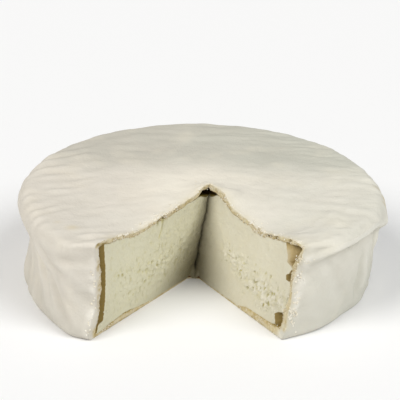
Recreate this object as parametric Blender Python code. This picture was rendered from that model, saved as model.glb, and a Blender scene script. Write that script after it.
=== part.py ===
"""A soft goat cheese with a white bloomy rind: one low wheel, with a wedge already cut out and gone.

The wheel is modelled as a regular turned body first. settle() then gives it the sag, the overhanging lip
and the folds that such a soft cheese takes on as it ripens. Metres, +Z up. The open notch faces -Y, and
the origin is in the middle of the underside.
"""

import math

import bmesh
import bpy
from mathutils import Matrix

MM = 0.001

# The whole wheel
WHEEL_RADIUS = 100 * MM
WHEEL_HEIGHT = 53 * MM
CENTRE = (-0.4 * MM, -11.7 * MM)  # the wheel's own axis, seen from the middle of its box

# The rolled edges of the regular wheel
RIM_ROLL_IN = 7 * MM
RIM_ROLL_DOWN = 8 * MM
FOOT_ROLL_IN = 3 * MM
FOOT_ROLL_UP = 4 * MM

# The missing wedge. Azimuths are degrees from the front, -Y, and grow to the right, seen from above.
RIGHT_CUT = 36.2
LEFT_CUT = 322.7
RIGHT_CUT_LEAN = 6.8  # how much further into the notch the right cut's foot stands, in degrees
LEAN_REACH = 40.0  # how far round the wheel that lean dies away, in degrees
TIP_TOP = (4.6 * MM, -3.8 * MM)  # where the two cuts meet, above and below
TIP_FOOT = (-4.0 * MM, 2.5 * MM)
TIP_RING = 6 * MM
WEB_REACH = 5 * MM  # the uncut corner left at the foot of the tip
WEB_HEIGHT = 7 * MM

# Where the rim stands out from the regular wheel: (azimuth, spread in degrees, mm)
RIM_BULGES = ((80, 14, 1.6), (116, 26, -2.2), (232, 30, 1.0), (287, 15, -1.8))

# The step in the side wall, where the rim overhangs it
STEP_HEIGHT = 40 * MM
STEP_DEPTH = 4 * MM
STEP_SOFTNESS = 18 * MM  # the height over which the wall draws in
STEP_DROP = 3 * MM  # how much lower the step lies away from the lip
PLAIN_SPREAD = 14.0  # degrees beside the left cut over which there is no step

# The slumped side, with a waist above a heel
WAIST_SIDE = 268.0
WAIST_SPREAD = 28.0
WAIST_EXTRA = 2.5 * MM
HEEL_BULGE = 1.4 * MM
HEEL_HEIGHT = 8 * MM
HEEL_SPREAD = 8 * MM
HEEL_AT_WAIST = 1.2  # how much stronger the heel is under the waist

# The right side, where the rim hangs over as a lip with a sharp crease under it
LIP_SIDE = 66.0
LIP_SPREAD = 32.0
LIP_EXTRA = 1.5 * MM
LIP_SOFTNESS = 5 * MM
LIP_RISE = 6.5 * MM
LOBE_SIDE = 40.0
LOBE_SPREAD = 7.0
LOBE_DROOP = 4.5 * MM  # how far the lip droops beside the right cut
FALL_FROM = 64.0
FALL_OVER = 22.0
LIP_FALL = 10.5 * MM  # how far the lip comes down towards the back
LIP_END = 150.0
LIP_FADE = 60.0
SLIP_SPREAD = 13 * MM  # how far above and below the crease the wall moves with it

# Where the wall's foot has drawn in under the lip
FRONT_TUCK = 4.5 * MM
FRONT_TUCK_END = 72.0
FRONT_TUCK_FADE = 14.0
RIGHT_TUCK = 2.5 * MM
RIGHT_TUCK_SIDE = 80.0
RIGHT_TUCK_SPREAD = 20.0

# Where the corners beside the cuts have drawn in
PINCH_DEPTH = 10 * MM
PINCH_AT_FOOT = 0.4
RIGHT_PINCH_SPREAD = 10.0
LEFT_PINCH_SPREAD = 4.5
LEFT_PINCH_EASE = 20 * MM  # the height below which the left corner eases out again

# Soft slanting folds in the side wall
FOLD_DEPTH = 0.55 * MM
FOLD_SPACING = 16 * MM
FOLD_SLANT = 0.6
FOLD_WANDER = 1.3
FOLD_WANDER_LENGTH = 17 * MM
FOLD_LEAST = 0.35
FOLD_EXTRA = 0.9
FOLD_SIDE = 290.0
FOLD_SPREAD = 26.0
FOLDS_FADE_IN = 6 * MM
FOLDS_TOP = WHEEL_HEIGHT - 10 * MM
FOLDS_FADE_OUT = 14 * MM

# Upright creases under the lip
CREASES = (72.0, 82.0)
CREASE_WIDTH = 2.2
CREASE_DEPTH = 1.6 * MM
CREASE_FADE_IN = 7 * MM
CREASE_TOP = 33 * MM
CREASE_FADE_OUT = 6 * MM

# The top: lower in the middle than at the rim
DISH_DEPTH = 0.6 * MM
DISH_RISE = 1.0 * MM
DISH_RADIUS = 66 * MM
DISH_SLOPE = 20 * MM
# Where it has sunk along the cuts and curled up at the tip: (azimuth, spread, radius, spread in mm, rise in mm)
TOP_SAGS = ((RIGHT_CUT, 24, 52, 24, -4.6), (LEFT_CUT, 20, 60, 18, -2.2), (RIGHT_CUT, 60, 16, 7, 2.6))
BACK_SIDE = 222.0
BACK_SPREAD = 40.0
BACK_RISE = 1.2 * MM
BACK_RADIUS = 60 * MM
BACK_SLOPE = 30 * MM

# The ridges across the top
RIPPLE_DEPTH = 0.65 * MM
RIPPLE_SPACING = 10.5 * MM
RIPPLE_ARCH = 170 * MM  # they are arcs of about this radius
RIPPLE_WANDER = ((0.9, 21, math.inf, 1.0), (0.7, 37, -29, 0.0))  # (radians, mm along X, mm along Y, start)
RIPPLE_LEAST = 0.75
RIPPLE_PATCHES = (13 * MM, 19 * MM)
RIPPLE_INSIDE = 0.12  # what is left of them in the middle of the wheel
RIPPLES_FROM = 42 * MM
RIPPLES_SLOPE = 42 * MM
RIPPLES_DOWN_TO = 0.7  # they die away below the top, over this part of the height
RIPPLES_FULL = 0.95

# The gaps behind the cuts, where the drying rind has let go of the paste: (radius, height) corners in mm
LEFT_STRIP = ((97, 3.5), (96, 12), (95.5, 30), (95, 49.5), (90.5, 49), (90, 30), (89.5, 18), (90.5, 6))
TOP_CORNER = ((95.5, 51), (92, 44), (87.5, 36), (84.5, 36), (82, 50.2))
MIDDLE_CRACK = ((88.5, 35), (87.5, 30), (82.5, 28), (84.5, 34))
LOW_CORNER = ((87.5, 12.5), (88.5, 6.5), (82.5, 5.5), (82, 11))
UNDER_TOP = ((63, 50.6), (66, 48.8), (60, 48.6), (57, 50.4))
GAPS = (
    ("gap_left", LEFT_STRIP, LEFT_CUT, -1),
    ("gap_top_corner", TOP_CORNER, RIGHT_CUT, 1),
    ("gap_middle", MIDDLE_CRACK, RIGHT_CUT, 1),
    ("gap_low_corner", LOW_CORNER, RIGHT_CUT, 1),
    ("gap_under_top", UNDER_TOP, RIGHT_CUT, 1),
)
GAP_DEPTH = 4.5  # degrees round the wheel
CUTTER_PROUD = 3.0
CUTTER_STEPS = 3

# How finely the wheel is divided
STATIONS = 144
COLUMNS = 12
RIM_ROWS = 5
WALL_ROWS = 12
FOOT_ROWS = 2
ROW_CROWDING = 1.3  # rows lie closer together towards the rim
COLUMN_CROWDING = 1.45  # and so do columns
MERGE_WITHIN = 0.01 * MM
SLIVER_UNDER = 0.005 * MM

PASTE_COLOUR = (0.69, 0.63, 0.47, 1.0)
PASTE_ROUGHNESS = 0.7
SHARP_FROM = 45.0


def clear_scene():
    for thing in list(bpy.data.objects):
        bpy.data.objects.remove(thing, do_unlink=True)


def smooth(x):
    """0 below 0, 1 above 1, and an even slope between."""
    x = min(1.0, max(0.0, x))
    return x * x * (3 - 2 * x)


def bell(x, middle, spread):
    return math.exp(-(((x - middle) / spread) ** 2))


def swell(azimuth, middle, spread):
    """A bell round the wheel, in degrees."""
    away = (azimuth - middle + 180) % 360 - 180
    return bell(away, 0, spread)


def lip_shift(azimuth):
    """How much higher than STEP_HEIGHT the lip's lower edge lies."""
    rise = LIP_RISE - LOBE_DROOP * swell(azimuth, LOBE_SIDE, LOBE_SPREAD)
    rise -= LIP_FALL * smooth((azimuth - FALL_FROM) / FALL_OVER)
    return rise * smooth((LIP_END - azimuth) / LIP_FADE)


def rim_shift(azimuth):
    """How far the rim stands out from the regular wheel."""
    return MM * sum(out * swell(azimuth, side, spread) for side, spread, out in RIM_BULGES)


def step_shift(azimuth, height, lip, waist):
    """How far the wall draws in under the rim."""
    softness = STEP_SOFTNESS + (LIP_SOFTNESS - STEP_SOFTNESS) * lip
    step_height = STEP_HEIGHT - STEP_DROP * (1 - lip)
    depth = STEP_DEPTH * (1 - swell(azimuth, LEFT_CUT, PLAIN_SPREAD)) + WAIST_EXTRA * waist + LIP_EXTRA * lip
    return -depth * smooth((step_height - height) / softness + 0.5)


def pinch(azimuth, height, low):
    """How far the corners beside the two cuts draw in, most of all at the top."""
    eased = 1 - PINCH_AT_FOOT
    right = swell(azimuth, RIGHT_CUT, RIGHT_PINCH_SPREAD) * (1 - eased * low)
    left = swell(azimuth, LEFT_CUT, LEFT_PINCH_SPREAD) * (1 - eased * smooth(1 - height / LEFT_PINCH_EASE))
    return -PINCH_DEPTH * (right + left)


def wall_shift(azimuth, height):
    """How far the side wall stands out from the regular wheel."""
    lip = swell(azimuth, LIP_SIDE, LIP_SPREAD)
    waist = swell(azimuth, WAIST_SIDE, WAIST_SPREAD)
    low = smooth(1 - height / STEP_HEIGHT)
    tuck = FRONT_TUCK * smooth((FRONT_TUCK_END - azimuth) / FRONT_TUCK_FADE)
    tuck += RIGHT_TUCK * swell(azimuth, RIGHT_TUCK_SIDE, RIGHT_TUCK_SPREAD)
    heel = HEEL_BULGE * (1 - lip + HEEL_AT_WAIST * waist) * bell(height, HEEL_HEIGHT, HEEL_SPREAD)
    shift = rim_shift(azimuth) * (1 - low) - tuck * low + heel
    return shift + step_shift(azimuth, height, lip, waist) + pinch(azimuth, height, low)


def wall_folds(azimuth, height):
    """Soft slanting folds, deepest on the left, and two creases at the right."""
    along = math.radians(azimuth) * WHEEL_RADIUS
    turn = 2 * math.pi * (along + FOLD_SLANT * height) / FOLD_SPACING
    turn += FOLD_WANDER * math.sin(along / FOLD_WANDER_LENGTH)
    strength = FOLD_LEAST + FOLD_EXTRA * swell(azimuth, FOLD_SIDE, FOLD_SPREAD)
    between = smooth(height / FOLDS_FADE_IN) * smooth((FOLDS_TOP - height) / FOLDS_FADE_OUT)
    folds = FOLD_DEPTH * strength * between * math.sin(turn)
    low = smooth(height / CREASE_FADE_IN) * smooth((CREASE_TOP - height) / CREASE_FADE_OUT)
    creases = sum(swell(azimuth, crease, CREASE_WIDTH) for crease in CREASES)
    return folds - CREASE_DEPTH * low * creases


def top_sag(azimuth, radius):
    """How far the top lies from a flat one."""
    rise = DISH_RISE * smooth((radius - DISH_RADIUS) / DISH_SLOPE) - DISH_DEPTH
    for side, spread, middle, width, lift in TOP_SAGS:
        rise += lift * MM * swell(azimuth, side, spread) * bell(radius, middle * MM, width * MM)
    return rise + BACK_RISE * swell(azimuth, BACK_SIDE, BACK_SPREAD) * smooth((radius - BACK_RADIUS) / BACK_SLOPE)


def ripple(x, y):
    """The ridges across the top, which arch towards the back and are deepest near the rim."""
    turn = 2 * math.pi * (y + x * x / (2 * RIPPLE_ARCH)) / RIPPLE_SPACING
    for size, along_x, along_y, start in RIPPLE_WANDER:
        turn += size * math.sin(x / (along_x * MM) + y / (along_y * MM) + start)
    patches = math.sin(x / RIPPLE_PATCHES[0] + y / RIPPLE_PATCHES[1])
    patchy = RIPPLE_LEAST + (1 - RIPPLE_LEAST) * patches
    near_rim = smooth((math.hypot(x, y) - RIPPLES_FROM) / RIPPLES_SLOPE)
    return RIPPLE_DEPTH * patchy * (RIPPLE_INSIDE + (1 - RIPPLE_INSIDE) * near_rim) * math.sin(turn)


def settle(point):
    """Moves one point of the regular wheel to where it lies in the slumped cheese."""
    radius = math.hypot(point.x, point.y)
    height = point.z
    azimuth = math.degrees(math.atan2(point.x, -point.y)) % 360
    share = radius / WHEEL_RADIUS
    up = height / WHEEL_HEIGHT

    # The wall's form dies away towards the axis, and its folds sooner
    lean = RIGHT_CUT_LEAN * (1 - up) * smooth(1 - (azimuth - RIGHT_CUT) / LEAN_REACH)
    out = radius + share**2 * wall_shift(azimuth, height) + share**4 * wall_folds(azimuth, height)
    turned = math.radians(azimuth - lean)
    x = out * math.sin(turned)
    y = -out * math.cos(turned)

    x += (TIP_FOOT[0] + (TIP_TOP[0] - TIP_FOOT[0]) * up) * (1 - share)
    y += (TIP_FOOT[1] + (TIP_TOP[1] - TIP_FOOT[1]) * up) * (1 - share)
    y -= WEB_REACH * smooth(1 - height / WEB_HEIGHT) * smooth(1 - radius / TIP_RING)

    near_top = smooth((up - RIPPLES_DOWN_TO) / (RIPPLES_FULL - RIPPLES_DOWN_TO))
    rise = top_sag(azimuth, radius) * smooth(up) + ripple(x, y) * near_top
    slip = bell(height, STEP_HEIGHT, SLIP_SPREAD) * smooth((WHEEL_HEIGHT - height) / RIM_ROLL_DOWN)
    slip *= smooth(height / FOOT_ROLL_UP)
    rise += share**2 * slip * lip_shift(azimuth)
    point.x = x + CENTRE[0]
    point.y = y + CENTRE[1]
    point.z = height + rise


def side_profile():
    """(radius, height) down the regular wheel's side: the rim's roll, the wall and the foot's roll."""
    points = []
    for row in range(RIM_ROWS + 1):
        turn = 0.5 * math.pi * row / RIM_ROWS
        radius = WHEEL_RADIUS - RIM_ROLL_IN * (1 - math.sin(turn))
        points.append((radius, WHEEL_HEIGHT - RIM_ROLL_DOWN * (1 - math.cos(turn))))
    wall_top = WHEEL_HEIGHT - RIM_ROLL_DOWN
    for row in range(1, WALL_ROWS + 1):
        height = wall_top + (FOOT_ROLL_UP - wall_top) * (row / WALL_ROWS) ** ROW_CROWDING
        points.append((WHEEL_RADIUS, height))
    for row in range(1, FOOT_ROWS + 1):
        turn = 0.5 * math.pi * row / FOOT_ROWS
        radius = WHEEL_RADIUS - FOOT_ROLL_IN * (1 - math.cos(turn))
        points.append((radius, FOOT_ROLL_UP * (1 - math.sin(turn))))
    return points


def spoke(column):
    """The share of the way from the axis to the side."""
    if column == 0:
        return 0.0
    first = TIP_RING / WHEEL_RADIUS
    share = (column - 1) / (COLUMNS - 1)
    return first + (1 - first) * (1 - (1 - share) ** COLUMN_CROWDING)


def at_azimuth(radius, height, azimuth):
    turn = math.radians(azimuth)
    return (radius * math.sin(turn), -radius * math.cos(turn), height)


def spin_degrees(bm, geometry, degrees, steps):
    bmesh.ops.spin(
        bm,
        geom=geometry,
        cent=(0, 0, 0),
        axis=(0, 0, 1),
        angle=math.radians(degrees),
        steps=steps,
    )


def finish_mesh(bm, name):
    bmesh.ops.remove_doubles(bm, verts=bm.verts, dist=MERGE_WITHIN)
    bmesh.ops.dissolve_degenerate(bm, edges=bm.edges, dist=SLIVER_UNDER)
    bmesh.ops.recalc_face_normals(bm, faces=bm.faces)
    for vertex in bm.verts:
        settle(vertex.co)
    mesh = bpy.data.meshes.new(name)
    bm.to_mesh(mesh)
    bm.free()
    thing = bpy.data.objects.new(name, mesh)
    bpy.context.scene.collection.objects.link(thing)
    return thing


def make_wheel():
    """Half of the wheel's section, as a grid of faces, turned from the right cut round to the left cut."""
    profile = side_profile()
    rows = len(profile) - 1
    bm = bmesh.new()
    bmesh.ops.create_grid(bm, x_segments=COLUMNS, y_segments=rows, size=0.5, matrix=Matrix.Identity(4))
    for vertex in bm.verts:
        column = round((vertex.co.x + 0.5) * COLUMNS)
        row = round((0.5 - vertex.co.y) * rows)
        radius, height = profile[row]
        vertex.co = at_azimuth(radius * spoke(column), height, RIGHT_CUT)
    geometry = bm.verts[:] + bm.edges[:] + bm.faces[:]
    spin_degrees(bm, geometry, LEFT_CUT - RIGHT_CUT, STATIONS)
    return finish_mesh(bm, "cheese")


def make_gap_cutter(name, outline, azimuth, inwards):
    """A pocket behind a cut: its outline, turned into the cheese. inwards is the way to turn."""
    bm = bmesh.new()
    start = azimuth - inwards * CUTTER_PROUD
    corners = [bm.verts.new(at_azimuth(r * MM, z * MM, start)) for r, z in outline]
    face = bm.faces.new(corners)
    geometry = [face, *face.edges, *face.verts]
    spin_degrees(bm, geometry, inwards * (GAP_DEPTH + CUTTER_PROUD), CUTTER_STEPS)
    cutter = finish_mesh(bm, name)
    cutter.hide_render = True
    cutter.display_type = "WIRE"
    return cutter


def cut_gaps(cheese):
    for name, outline, azimuth, inwards in GAPS:
        cut = cheese.modifiers.new(name, "BOOLEAN")
        cut.operation = "DIFFERENCE"
        cut.solver = "EXACT"
        cut.object = make_gap_cutter(name, outline, azimuth, inwards)


def paint(cheese):
    material = bpy.data.materials.new("soft_cheese")
    material.use_nodes = True
    shader = material.node_tree.nodes["Principled BSDF"]
    shader.inputs["Base Color"].default_value = PASTE_COLOUR
    shader.inputs["Roughness"].default_value = PASTE_ROUGHNESS
    cheese.data.materials.append(material)
    cheese.data.shade_smooth()
    cheese.data.set_sharp_from_angle(angle=math.radians(SHARP_FROM))


def main():
    clear_scene()
    cheese = make_wheel()
    cut_gaps(cheese)
    paint(cheese)


main()
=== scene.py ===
"""The looks of a soft goat cheese: a white bloomy rind round crumbly paste, open where a wedge has been cut out.

The rind and the paste are drawn as sections of a regular wheel, spun round it, and then settled into the sag,
the overhanging lip and the folds of the real one. The form is worked out in millimetres.
"""
import math

import bpy
import numpy as np
from bpy.props import FloatProperty, FloatVectorProperty, PointerProperty
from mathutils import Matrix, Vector, noise


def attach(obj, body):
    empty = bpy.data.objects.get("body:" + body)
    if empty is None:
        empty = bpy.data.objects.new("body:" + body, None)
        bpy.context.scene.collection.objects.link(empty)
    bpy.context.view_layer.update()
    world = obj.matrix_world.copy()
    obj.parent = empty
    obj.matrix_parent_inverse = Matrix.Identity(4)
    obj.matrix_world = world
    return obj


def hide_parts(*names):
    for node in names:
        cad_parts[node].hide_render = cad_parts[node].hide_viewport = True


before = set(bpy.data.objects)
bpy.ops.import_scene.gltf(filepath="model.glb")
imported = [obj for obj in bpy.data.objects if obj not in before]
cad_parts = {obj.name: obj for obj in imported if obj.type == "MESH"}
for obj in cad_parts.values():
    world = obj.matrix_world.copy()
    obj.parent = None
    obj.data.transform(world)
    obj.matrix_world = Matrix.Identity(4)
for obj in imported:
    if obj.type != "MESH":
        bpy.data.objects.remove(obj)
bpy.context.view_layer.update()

bl_info = {
    "name": "Soft goat cheese",
    "version": (1, 0, 0),
    "blender": (4, 5, 0),
    "location": "3D View > Sidebar > Cheese",
    "description": "Builds the rind, the paste and the crumbs of a cut goat cheese",
    "category": "Object",
}

MM = 0.001

# The whole wheel, in millimetres
WHEEL_RADIUS = 100.0
WHEEL_HEIGHT = 53.0
CENTRE = (-0.4, -11.7)

# The rolled edges of the regular wheel
RIM_ROLL_IN = 7.0
RIM_ROLL_DOWN = 8.0
FOOT_ROLL_IN = 3.0
FOOT_ROLL_UP = 4.0

# The missing wedge. Azimuths are degrees from the front, -Y, and grow to the right, seen from above.
RIGHT_CUT = 36.2
LEFT_CUT = 322.7
ROUND = LEFT_CUT - RIGHT_CUT
RIGHT_CUT_LEAN = 6.8
LEAN_REACH = 40.0
TIP_TOP = (4.6, -3.8)
TIP_FOOT = (-4.0, 2.5)
TIP_RING = 6.0
WEB_REACH = 5.0
WEB_HEIGHT = 7.0

# Where the rim stands out from the regular wheel: (azimuth, spread in degrees, mm)
RIM_BULGES = ((80, 14, 1.6), (116, 26, -2.2), (232, 30, 1.0), (287, 15, -1.8))

# The step in the side wall, where the rim overhangs it
STEP_HEIGHT = 40.0
STEP_DEPTH = 4.0
STEP_SOFTNESS = 18.0
STEP_DROP = 3.0
PLAIN_SPREAD = 14.0

# The slumped side, with a waist above a heel
WAIST_SIDE = 268.0
WAIST_SPREAD = 28.0
WAIST_EXTRA = 2.5
HEEL_BULGE = 1.4
HEEL_HEIGHT = 8.0
HEEL_SPREAD = 8.0
HEEL_AT_WAIST = 1.2

# The right side, where the rim hangs over as a lip with a sharp crease under it
LIP_SIDE = 66.0
LIP_SPREAD = 32.0
LIP_EXTRA = 1.5
LIP_SOFTNESS = 5.0
LIP_RISE = 6.5
LOBE_SIDE = 40.0
LOBE_SPREAD = 7.0
LOBE_DROOP = 4.5
FALL_FROM = 64.0
FALL_OVER = 22.0
LIP_FALL = 10.5
LIP_END = 150.0
LIP_FADE = 60.0
SLIP_SPREAD = 13.0

# Where the wall's foot has drawn in under the lip
FRONT_TUCK = 4.5
FRONT_TUCK_END = 72.0
FRONT_TUCK_FADE = 14.0
RIGHT_TUCK = 2.5
RIGHT_TUCK_SIDE = 80.0
RIGHT_TUCK_SPREAD = 20.0

# Where the corners beside the cuts have drawn in
PINCH_DEPTH = 10.0
PINCH_AT_FOOT = 0.4
RIGHT_PINCH_SPREAD = 10.0
LEFT_PINCH_SPREAD = 4.5
LEFT_PINCH_EASE = 20.0

# Soft slanting folds in the side wall
FOLD_DEPTH = 0.55
FOLD_SPACING = 16.0
FOLD_SLANT = 0.6
FOLD_WANDER = 1.3
FOLD_WANDER_LENGTH = 17.0
FOLD_LEAST = 0.35
FOLD_EXTRA = 0.9
FOLD_SIDE = 290.0
FOLD_SPREAD = 26.0
FOLDS_FADE_IN = 6.0
FOLDS_TOP = WHEEL_HEIGHT - 10
FOLDS_FADE_OUT = 14.0

# Upright creases under the lip
CREASES = (72.0, 82.0)
CREASE_WIDTH = 2.2
CREASE_DEPTH = 1.6
CREASE_FADE_IN = 7.0
CREASE_TOP = 33.0
CREASE_FADE_OUT = 6.0

# The top: lower in the middle than at the rim
DISH_DEPTH = 0.6
DISH_RISE = 1.0
DISH_RADIUS = 66.0
DISH_SLOPE = 20.0
# Where it has sunk along the cuts and curled up at the tip: (azimuth, spread, radius, spread in mm, rise in mm)
TOP_SAGS = ((RIGHT_CUT, 24, 52, 24, -4.6), (LEFT_CUT, 20, 60, 18, -2.2), (RIGHT_CUT, 60, 16, 7, 2.6))
BACK_SIDE = 222.0
BACK_SPREAD = 40.0
BACK_RISE = 1.2
BACK_RADIUS = 60.0
BACK_SLOPE = 30.0

# The ridges across the top
RIPPLE_DEPTH = 0.65
RIPPLE_SPACING = 10.5
RIPPLE_ARCH = 170.0
RIPPLE_WANDER = ((0.9, 21, math.inf, 1.0), (0.7, 37, -29, 0.0))
RIPPLE_STRAY = 2.6
RIPPLE_STRAY_SIZE = 26.0
RIPPLE_PATCH = 19.0
# Where they are strong: (azimuth, spread in degrees, strength)
RIPPLE_SIDES = ((262, 40, 1.1), (311, 15, 0.9), (165, 45, 0.55), (85, 28, 0.5))
RIPPLE_INSIDE = 0.12
RIPPLES_FROM = 50.0
RIPPLES_SLOPE = 36.0
RIPPLES_DOWN_TO = 0.7
RIPPLES_FULL = 0.95

# Fine wrinkles in the far right part of the top, and soft arcs along the rim at the near right
WRINKLE_SIDE = 138.0
WRINKLE_SPREAD = 38.0
WRINKLE_SPACING = 5.2
WRINKLE_DEPTH = 0.3
ARC_SIDE = 60.0
ARC_SPREAD = 18.0
ARC_SPACING = 10.0
ARC_DEPTH = 0.42

# Uneven slanting folds in the side wall, most of all on the left
SLANT_FOLDS = 2.3
SLANT_FOLD_WIDTH = 7.0
SLANT_FOLD_LENGTH = 30.0
SLANT = 0.9
SLANT_SIDE = 294.0
SLANT_SPREAD = 24.0
DRAPES = 1.5
DRAPE_WIDTH = 5.0
DRAPE_LENGTH = 26.0
DRAPE_SIDE = 315.0
DRAPE_SPREAD = 13.0

# The sharp crease along the lip's lower edge, the dimple beside the right cut, and two upright folds
LIP_CREASE = (38.9, 1.4, 1.9)
LIP_ROLL = (43.0, 2.4, 1.0)
LIP_CREASE_SIDE = (60.0, 22.0)
DIMPLE = (43.0, 3.2, 46.0, 3.6, 1.5)
# Upright folds: azimuth, middle height, half its height, depth of the groove in front of it
UPRIGHT_FOLDS = ((66.0, 19.0, 10.0, 2.3), (76.5, 32.0, 10.0, 2.0))
FOOT_UNEVEN = 0.9

# Brown specks and yellow stains: (azimuth, radius, spread in mm, strength)
STAINS = ((86, 98.5, 1.2, 1.0), (82, 98.5, 1.0, 0.9), (91.6, 96.5, 2.6, 0.45), (306.8, 84.5, 3.2, 0.4), (300, 88, 2, 0.2))

# Where the rind has curled up off the paste at the tip: radius, and how far the top, the rind's underside
# and the paste under it have risen
LEFT_CURL = (
    (0, 5.4, 5.2, 1.0), (3, 5.5, 5.6, 1.5), (5.4, 5.2, 5.8, 2.2), (7.4, 4.4, 3.9, 2.8), (9.6, 2.9, 2.8, 2.8),
    (11.2, 2.5, 2.4, 2.4), (16, 1.8, 1.1, 1.1), (20.4, 1.3, 0.3, 0.3), (27, 0.8, 0.3, 0.3), (36, 0, 0, 0),
)
RIGHT_CURL = (
    (0, 5.4, 5.2, 1.0), (3.6, 5.8, 4.8, 1.8), (7.6, 5.6, 3.9, 2.8), (10.5, 5.0, 2.5, 2.5), (13.4, 4.1, 1.0, 1.0),
    (16.6, 3.1, -0.2, -0.2), (18.2, 1.2, -0.7, -0.7), (19.8, -0.3, -0.9, -0.9), (22.8, -0.3, -0.6, -0.6),
    (26, 0, -0.2, -0.2), (31, 0, 0, 0),
)
CURL_TURN = 40.0
CURL_BEHIND = 9.0

# The rind's thickness, away from the cuts and at them
SKIN_SIDE = 2.6
SKIN_TOP = 2.2
SKIN_BASE = 2.0
CUT_TOP = 2.6
CUT_REACH = 14.0
TOP_UNEVEN = 0.4
TOP_WAVE = 4.5
INNER_RIM_IN = 4.0
INNER_RIM_DOWN = 5.0
OVERLAP = 0.15

# The tan specks on the left cut's edge: (height, spread)
LEFT_SPECKS = ((40, 3), (28, 3.2), (21, 2.2))

# The grains are drawn this far apart before they are scattered. They are flattened on what they lie on.
GRAIN_STEP = 4.0
GRAIN_FLAT = 0.45
GRAIN_OUT = -0.1

# How finely the two sections are drawn
TOP_COLUMNS = 84
RIM_ROWS = 15
WALL_ROWS = 50
FOOT_ROWS = 8
BASE_COLUMNS = 30
SKIN_LAYERS = 6
OUTER_STATIONS = 430
INNER_STATIONS = 60
PASTE_COLUMNS = 200
PASTE_ROWS = 104
PASTE_STATIONS = 44

# The gaps behind the rind at the two cuts: height, the paste's edge and the rind's inside, as regular radii
LEFT_GAP = ((1.5, 93.5, 93.5), (2.2, 91.4, 93.5), (6.2, 91.2, 93), (6.9, 86.9, 92.5), (11.8, 88.3, 92.9),
            (16.8, 89.7, 94.9), (20, 89.7, 95.6), (24, 89.5, 94.4), (28, 89.7, 93.5), (32.5, 90, 94.3), (37, 90.1, 94),
            (41.5, 90.5, 94.8), (51, 90.6, 96))
RIGHT_GAP = ((4.8, 93.5, 93.5), (5.6, 87.3, 94), (11.2, 85.4, 93.5), (12.6, 88, 93.2), (13.8, 93.2, 93.2),
             (17, 95.6, 95.6), (21.5, 97.2, 97.2), (29.3, 96, 96), (29.6, 91.2, 95.8), (30.1, 90.6, 95.8),
             (31.9, 90.4, 95.8), (32.5, 91.4, 95.8), (33, 93.6, 95.9), (35, 94.6, 95.9), (35.8, 95.2, 95.2),
             (36.6, 93.3, 93.3), (38, 87.4, 94), (44.8, 82.5, 95.8), (49.3, 80.3, 97.4), (52, 80, 98))
GAP_DEPTH = 4.5
GAP_PULLS_FROM = 0.4
GAP_RAGGED = 0.3

# Where the rind of the base is thick at the two cuts: radius, mm
LEFT_BASE = ((0, 0.9), (42, 1.0), (63, 3.5), (71, 4.0), (80, 3.5), (86, 2.5), (92, 1.3))
RIGHT_BASE = ((0, 0.6), (48, 0.7), (59, 3.7), (73, 4.1), (88, 4.6), (95, 5.6))

# The rim is sharp where it is cut
CUT_RIM_SPREAD = 9.0
CUT_RIM_KEPT = 0.3

# The wall stands out a little beside the right cut
RIGHT_SWELL = (1.6, 26.0, 14.0, 10.0)

# The crumbled band across the right cut face: its height and half its width at some radii
RIGHT_ROUGH_LINE = ((20, 27), (36, 25), (50, 23), (65, 19), (76, 17), (92, 16))
RIGHT_ROUGH_WIDTH = ((20, 5), (45, 8), (60, 10), (90, 9))
CURD_DOME_SIZE = 2.9

# Brown holes between the rind and the paste along the top edge: on the right face or not, radius, size
EDGE_HOLES = ((True, 61.2, 3.0), (True, 69.3, 1.3), (True, 84.5, 1.0), (False, 38.5, 1.4), (False, 43.0, 1.0))
EDGE_HOLE_DEPTH = 1.8

# Single pits: on the right face or not, radius, height, size, depth
CURD_DENTS = (
    (False, 77.3, 29.0, 1.0, 0.9), (False, 73.6, 28.5, 1.1, 1.0), (False, 50.5, 16.5, 1.1, 0.8),
    (False, 61.0, 12.5, 0.9, 0.7), (False, 60.0, 15.5, 0.8, 0.7), (False, 45.5, 26.5, 1.2, 0.8),
    (False, 19.0, 24.0, 1.0, 0.6), (False, 58.5, 26.0, 1.1, 0.6), (False, 50.5, 24.0, 1.0, 0.7),
    (True, 43.0, 20.0, 1.4, 0.7), (True, 45.0, 28.0, 1.1, 0.6), (True, 73.5, 28.0, 1.1, 0.7),
)

# The crack under the left top edge: height and radius, and how wide it is
CRACK = ((38.0, 40.5), (41.0, 40.3), (44.0, 38.9), (47.0, 38.5), (52.0, 37.0))
CRACK_WIDTH = 0.55

# How far the hollow under the rind reaches from the tip beside the two cuts
TIP_HOLLOW_RIGHT = 9.5
TIP_HOLLOW_LEFT = 9.0


def smooth(x):
    """0 below 0, 1 above 1, and an even slope between."""
    x = np.clip(x, 0.0, 1.0)
    return x * x * (3 - 2 * x)


def bell(x, middle, spread):
    return np.exp(-(((x - middle) / spread) ** 2))


def swell(azimuth, middle, spread):
    """A bell round the wheel, in degrees."""
    return bell((azimuth - middle + 180) % 360 - 180, 0, spread)


def lumps(points, size, seed=0.0):
    """Smooth noise between about -1 and 1, with lumps of about that size, at points in mm."""
    shifted = points / size + seed * 7.31
    return np.array([noise.noise(point) for point in shifted.tolist()])


def lip_shift(azimuth):
    """How much higher than STEP_HEIGHT the lip's lower edge lies."""
    rise = LIP_RISE - LOBE_DROOP * swell(azimuth, LOBE_SIDE, LOBE_SPREAD)
    rise = rise - LIP_FALL * smooth((azimuth - FALL_FROM) / FALL_OVER)
    return rise * smooth((LIP_END - azimuth) / LIP_FADE)


def step_shift(azimuth, height, lip, waist):
    """How far the wall draws in under the rim."""
    softness = STEP_SOFTNESS + (LIP_SOFTNESS - STEP_SOFTNESS) * lip
    step_height = STEP_HEIGHT - STEP_DROP * (1 - lip)
    depth = STEP_DEPTH * (1 - swell(azimuth, LEFT_CUT, PLAIN_SPREAD)) + WAIST_EXTRA * waist + LIP_EXTRA * lip
    return -depth * smooth((step_height - height) / softness + 0.5)


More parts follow.
